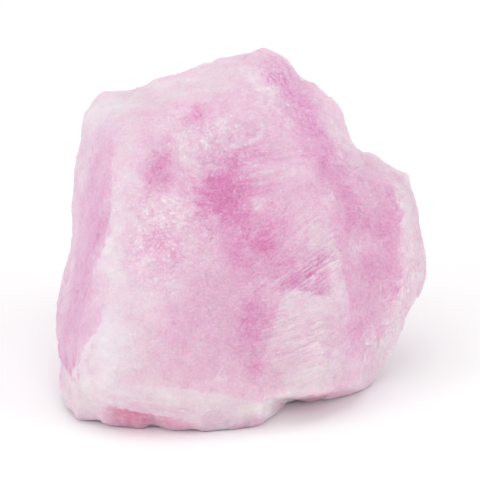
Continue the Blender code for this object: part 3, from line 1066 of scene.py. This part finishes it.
def flake_edges(tree, place, spacing, strength, below):
    """Thin curled flakes of this width. Some of their lifted edges are white."""
    bent = torn_place(tree, place, 0.8 / spacing, 3.0, 2 * spacing)
    edges = add(
        tree,
        "ShaderNodeTexVoronoi",
        [("Vector", bent), ("Scale", 1.0 / spacing)],
        feature="DISTANCE_TO_EDGE",
    )
    line = add(
        tree,
        "ShaderNodeMapRange",
        [("Value", edges), ("From Min", CURL_WIDTH), ("From Max", 0.0)],
        interpolation_type="SMOOTHSTEP",
    )
    chance = add(tree, "ShaderNodeTexNoise", [("Vector", place), ("Scale", 1.1 / spacing)])
    lifted = add(
        tree,
        "ShaderNodeMapRange",
        [("Value", chance), ("From Min", LIFTED_FROM), ("From Max", LIFTED_TO)],
        interpolation_type="SMOOTHSTEP",
    )
    edge = add(tree, "ShaderNodeMath", [(0, line), (1, lifted)], operation="MULTIPLY")
    return whitened(tree, edge, strength, below)


def crushed_grains(tree, place, spacing, strength, below):
    """Crushed crystal grains of this width: most are whiter, and the seams between are pink."""
    bent = torn_place(tree, place, 1.6 / spacing, 2.0, spacing)
    cells = add(tree, "ShaderNodeTexVoronoi", [("Vector", bent), ("Scale", 1.0 / spacing)])
    chance = add(tree, "ShaderNodeSeparateColor", [(0, cells.outputs["Color"])])
    seams = add(
        tree,
        "ShaderNodeTexVoronoi",
        [("Vector", bent), ("Scale", 1.0 / spacing)],
        feature="DISTANCE_TO_EDGE",
    )
    span = [("From Max", SEAM_WIDTH), ("To Min", SEAM_ROSE), ("To Max", 0.0)]
    seam = add(
        tree,
        "ShaderNodeMapRange",
        [("Value", seams), *span],
        interpolation_type="SMOOTHSTEP",
    )
    pinker = add(tree, "ShaderNodeMath", [(0, seam), (1, chance)], operation="SUBTRACT")
    change = add(tree, "ShaderNodeMath", [(0, pinker), (1, GRAIN_MIDDLE)])
    return add(
        tree,
        "ShaderNodeMath",
        [(0, change), (1, strength), (2, below)],
        operation="MULTIPLY_ADD",
    )


def fibre_streaks(tree, place, zone):
    """The sum of all the beds of fibres, each about 6 mm long, above 0 on a fibre."""
    streaks = 0.0
    for name, bed in FIBRE_BEDS.items():
        fibres = strands(tree, place, FIBRE_MM, bed[6], zone[f"fibre {name}"], 2.0)
        streaks = add(tree, "ShaderNodeMath", [(0, fibres), (1, streaks)])
    return streaks


def rose_amount(tree, place, zone, streaks):
    """How rose each place is: 0 is frost, 1 the densest pink, and below 0 a glint."""
    grain = add(
        tree,
        "ShaderNodeMath",
        [(0, zone["rose"]), (1, GRAIN_ROSE), (2, GRAIN_IN_WHITE)],
        operation="MULTIPLY_ADD",
    )
    amount = clouds(tree, place, CLOUD_MM, 3.0, CLOUD_ROSE, zone["rose"])
    amount = clouds(tree, place, MOTTLE_MM, 2.0, MOTTLE_ROSE, amount)
    amount = clouds(tree, place, GRAIN_MM, 1.0, grain, amount)

    # Between the fibres the stone is a denser pink. Bruised edges are a little whiter, partly
    # painted edge light, and creases a little pinker, as painted shade.
    for source, rose in ((streaks, FIBRE_ROSE), (zone["bruise_and_painted_shading"], BRUISE_AND_SHADING_ROSE)):
        amount = add(
            tree,
            "ShaderNodeMath",
            [(0, source), (1, rose), (2, amount)],
            operation="MULTIPLY_ADD",
        )

    # Sugary grains scatter more light, so they are whiter.
    sugar = zone["sugar"]
    crushed = add(tree, "ShaderNodeMath", [(0, sugar), (1, CRUSHED_WHITE)], operation="MULTIPLY")
    for spacing in CRUSHED_MM:
        amount = crushed_grains(tree, place, spacing, crushed, amount)
    curled = add(tree, "ShaderNodeMath", [(0, sugar), (1, FLAKE_WHITE)], operation="MULTIPLY")
    amount = flake_edges(tree, place, FLAKE_MM, curled, amount)
    flecks = add(
        tree,
        "ShaderNodeMath",
        [(0, sugar), (1, FLECK_WHITE), (2, FLECK_ANYWHERE)],
        operation="MULTIPLY_ADD",
    )
    amount = white_flecks(tree, place, FLECK_MM, FLECK_SHARE, flecks, amount)
    glints = add(tree, "ShaderNodeMath", [(0, sugar), (1, GLINT_WHITE)])
    return white_flecks(tree, place, GLINT_MM, GLINT_SHARE, glints, amount)


def rose_colour(tree, amount, settings):
    """The colour for each amount of rose, from glint through frost to the densest pink."""
    span = 1.0 + LOWEST_ROSE
    shade = add(
        tree,
        "ShaderNodeMath",
        [(0, amount), (1, 1.0 / span), (2, LOWEST_ROSE / span)],
        operation="MULTIPLY_ADD",
    )
    ramp = add(tree, "ShaderNodeValToRGB", [("Fac", shade)])
    stops = ramp.color_ramp.elements
    stops[0].position, stops[0].color = 0.0, settings.glint
    stops[1].position, stops[1].color = 1.0, settings.heart
    between = (
        (FROST_AT, settings.frost), (BLUSH_AT, settings.blush), (ROSE_AT, settings.rose),
    )
    for level, colour in between:
        stops.new((level + LOWEST_ROSE) / span).color = colour
    return ramp


def lit_through(tree, place, ruby, colour, settings):
    """Reddens the colour where light comes through the thin foot, in patches."""
    patchy = clouds(tree, place, RUBY_MM, 3.0, RUBY_CONTRAST, RUBY_MIDDLE)
    glow = add(
        tree,
        "ShaderNodeMath",
        [(0, ruby), (1, patchy)],
        operation="MULTIPLY",
        use_clamp=True,
    )
    mixed = add(
        tree,
        "ShaderNodeMix",
        [(0, glow), (6, colour), (7, settings.ruby)],
        data_type="RGBA",
    )
    return mixed.outputs[2]


def painted_light_and_brightness(tree, place, amount, zone):
    """Painted light and shade on each crystal face. Faces lie every way, so each is lit
    differently from the next.

    The pink crystals are clearer than the clouded ones, and show it more. Painted shade
    makes some zones darker and painted light makes others brighter, and crushed crystals
    scatter more light.
    """
    clear = add(
        tree,
        "ShaderNodeMath",
        [(0, amount), (1, PAINTED_FACET_LIGHT_IN_ROSE), (2, PAINTED_FACET_LIGHT_IN_WHITE)],
        operation="MULTIPLY_ADD",
    )
    crushed = add(
        tree,
        "ShaderNodeMath",
        [(0, zone["sugar"]), (1, CRUSHED_BRIGHTER), (2, 1.0)],
        operation="MULTIPLY_ADD",
    )
    brightness = add(
        tree,
        "ShaderNodeMath",
        [(0, zone["thin"]), (1, PAINTED_SHADE_STRENGTH), (2, crushed)],
        operation="MULTIPLY_ADD",
    )
    return clouds(tree, place, PAINTED_FACET_LIGHT_MM, 1.0, clear, brightness)


def crystal_ends(tree, place, streaks):
    """Bump for crystal ends and fibres too small for the skin's cells."""
    fine = clouds(tree, place, ENDS_MM, 2.0, 1.0, 0.0)
    fine = add(
        tree,
        "ShaderNodeMath",
        [(0, streaks), (1, FIBRE_BUMP), (2, fine)],
        operation="MULTIPLY_ADD",
    )
    return add(
        tree,
        "ShaderNodeBump",
        [("Strength", 1.0), ("Distance", BUMP_DEPTH_MM * MM), ("Height", fine)],
    )


def massive_aragonite(settings):
    """Massive aragonite, broken by hand and left rough.

    A mass of fine calcium carbonate crystals, pink where it holds manganese and clouded
    white where the crystals have parted. Broken faces look sugary and almost matt, and light
    goes two or three millimetres into them.
    """
    made = bpy.data.materials.new("massive aragonite, broken")
    made.use_nodes = True
    tree = made.node_tree
    shader = tree.nodes["Principled BSDF"]
    place = add(
        tree,
        "ShaderNodeVectorMath",
        [(0, add(tree, "ShaderNodeTexCoord").outputs["Object"]), ("Scale", 1.0 / MM)],
        operation="SCALE",
    )
    beds = [f"fibre {name}" for name in FIBRE_BEDS]
    # Of these, thin holds painted shade and light.
    zone = {
        name: add(tree, "ShaderNodeAttribute", attribute_name=name).outputs["Fac"]
        for name in ("rose", "lilac", "thin", "sugar", "bruise_and_painted_shading", "ruby", *beds)
    }
    streaks = fibre_streaks(tree, place, zone)
    amount = rose_amount(tree, place, zone, streaks)
    colour = rose_colour(tree, amount, settings)
    reddened = lit_through(tree, place, zone["ruby"], colour, settings)

    # Lilac is a little bluer than the rest, and the warmer rose a little less blue.
    cast = add(
        tree,
        "ShaderNodeVectorMath",
        [(0, zone["lilac"]), (1, LILAC_CAST), (2, (1.0, 1.0, 1.0))],
        operation="MULTIPLY_ADD",
    )
    tinted = add(
        tree,
        "ShaderNodeVectorMath",
        [(0, reddened), (1, cast)],
        operation="MULTIPLY",
    )
    mottled = add(
        tree,
        "ShaderNodeVectorMath",
        [(0, tinted), ("Scale", painted_light_and_brightness(tree, place, amount, zone))],
        operation="SCALE",
    )
    tree.links.new(mottled.outputs[0], shader.inputs["Base Color"])
    tree.links.new(crystal_ends(tree, place, streaks).outputs[0], shader.inputs["Normal"])
    shader.inputs["Roughness"].default_value = BROKEN_ROUGHNESS
    shader.inputs["Specular IOR Level"].default_value = BROKEN_SPECULAR
    shader.inputs["IOR"].default_value = ARAGONITE_IOR
    shader.inputs["Subsurface Weight"].default_value = settings.translucency
    shader.inputs["Subsurface Radius"].default_value = REACH_BY_COLOUR
    shader.inputs["Subsurface Scale"].default_value = settings.light_reach
    return made


class ARAGONITE_OT_dress_stone(bpy.types.Operator):
    """Dresses the CAD solid as a rough chunk of pink aragonite"""

    bl_idname = "aragonite.dress_stone"
    bl_label = "Dress the stone"
    bl_options = {"REGISTER", "UNDO"}

    def execute(self, context):
        settings = context.scene.aragonite_stone
        stone = skin_of_solid(settings)
        lay_out_zones(stone.data)
        break_surface(stone, settings, massive_aragonite(settings))
        keep_in_box(stone)
        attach(stone, "root")
        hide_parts(STONE_NODE)
        return {"FINISHED"}


# ---- the stage ----

# The floor reaches this far each way, in metres, and lies just under the resting face, so
# that the two don't share a plane.
FLOOR_REACH = 4.0
FLOOR_DROP_MM = 0.05

# The soft round lights: place and width in metres, the setting with the power, and the share
# of it that this light has.
LIGHTS = {
    "overhead": ((-0.03, 0.0, 0.32), 0.3, "overhead_power", 1.0),
    "left": ((-0.52, -0.20, 0.22), 0.4, "side_power", 1.05),
    "right": ((0.50, -0.15, 0.30), 0.4, "side_power", 0.85),
    "low": ((0.25, -0.42, 0.04), 0.4, "low_power", 1.0),
    "back": ((0.10, 0.55, 0.30), 0.4, "side_power", 0.3),
}
LIT_PLACE = (0.0, 0.0, 0.015)

# The camera looks at this (across, up, near) place of the broad face.
AIMED_AT_MM = (0.0, 0.0, 3.0)
SENSOR_MM = 36.0
NEAREST_SEEN = 0.01
FURTHEST_SEEN = 20.0


def aim(thing, place, target):
    """Puts a camera or a light at a place, looking at a target."""
    thing.location = place
    thing.rotation_euler = (Vector(target) - Vector(place)).to_track_quat("-Z", "Y").to_euler()


def studio_board(colour):
    """Matt white studio board, painted: it takes a soft shadow and has no gloss."""
    board = bpy.data.materials.new("matt white studio board")
    board.use_nodes = True
    shader = board.node_tree.nodes["Principled BSDF"]
    shader.inputs["Base Color"].default_value = colour
    shader.inputs["Roughness"].default_value = 0.9
    shader.inputs["Specular IOR Level"].default_value = 0.1
    return board


def lay_floor(settings):
    """A wide pale floor just under the resting face."""
    mesh = bpy.data.meshes.new("floor")
    corners = [(-1, -1), (1, -1), (1, 1), (-1, 1)]
    below = -FLOOR_DROP_MM * MM
    places = [(x * FLOOR_REACH, y * FLOOR_REACH, below) for x, y in corners]
    mesh.from_pydata(places, [], [(0, 1, 2, 3)])
    floor = bpy.data.objects.new("floor", mesh)
    bpy.context.scene.collection.objects.link(floor)
    mesh.materials.append(studio_board(settings.floor_colour))


def hang_lights(settings):
    """Even light from all round, and soft lights overhead, on each side, in front and behind."""
    scene = bpy.context.scene
    world = bpy.data.worlds.new("white studio")
    world.use_nodes = True
    sky = world.node_tree.nodes["Background"]
    sky.inputs["Color"].default_value = (1.0, 1.0, 1.0, 1.0)
    sky.inputs["Strength"].default_value = settings.sky_strength
    scene.world = world
    for name, (place, width, power, share) in LIGHTS.items():
        lamp = bpy.data.lights.new(name, "AREA")
        lamp.shape = "DISK"
        lamp.size = width
        lamp.energy = share * getattr(settings, power)
        hung = bpy.data.objects.new(name, lamp)
        scene.collection.objects.link(hung)
        aim(hung, place, LIT_PLACE)


def stand_camera(settings):
    """A long lens that looks down on the broad face, with the whole stone in view."""
    target = world_place(*AIMED_AT_MM)
    distance = settings.framed_width * settings.focal_length / SENSOR_MM
    height = settings.camera_height
    away = Vector((0.0, -math.cos(height), math.sin(height))) * distance
    lens = bpy.data.cameras.new("camera")
    lens.lens = settings.focal_length
    lens.sensor_width = SENSOR_MM
    lens.clip_start = NEAREST_SEEN
    lens.clip_end = FURTHEST_SEEN
    camera = bpy.data.objects.new("camera", lens)
    bpy.context.scene.collection.objects.link(camera)
    aim(camera, Vector(target) + away, Vector(target))
    bpy.context.scene.camera = camera


class ARAGONITE_OT_build_stage(bpy.types.Operator):
    """Builds the pale floor, the studio light and the camera"""

    bl_idname = "aragonite.build_stage"
    bl_label = "Build the stage"
    bl_options = {"REGISTER", "UNDO"}

    def execute(self, context):
        settings = context.scene.aragonite_stage
        lay_floor(settings)
        hang_lights(settings)
        stand_camera(settings)
        # Pale pinks and whites keep their own colours.
        context.scene.view_settings.view_transform = "Standard"
        return {"FINISHED"}


class ARAGONITE_PT_panel(bpy.types.Panel):
    """Lists the operators and their settings"""

    bl_idname = "ARAGONITE_PT_panel"
    bl_label = "Aragonite chunk"
    bl_space_type = "VIEW_3D"
    bl_region_type = "UI"
    bl_category = "Aragonite"

    def draw(self, context):
        layout = self.layout
        groups = (
            (context.scene.aragonite_stone, "aragonite.dress_stone"),
            (context.scene.aragonite_stage, "aragonite.build_stage"),
        )
        for settings, operator in groups:
            box = layout.box()
            box.operator(operator)
            for name in settings.__annotations__:
                box.prop(settings, name)


CLASSES = (
    StoneSettings,
    StageSettings,
    ARAGONITE_OT_dress_stone,
    ARAGONITE_OT_build_stage,
    ARAGONITE_PT_panel,
)


def register():
    for one in CLASSES:
        bpy.utils.register_class(one)
    bpy.types.Scene.aragonite_stone = bpy.props.PointerProperty(type=StoneSettings)
    bpy.types.Scene.aragonite_stage = bpy.props.PointerProperty(type=StageSettings)


def unregister():
    del bpy.types.Scene.aragonite_stage
    del bpy.types.Scene.aragonite_stone
    for one in reversed(CLASSES):
        bpy.utils.unregister_class(one)


def main():
    register()
    bpy.ops.aragonite.build_stage()
    bpy.ops.aragonite.dress_stone()


if __name__ == "__main__":
    main()
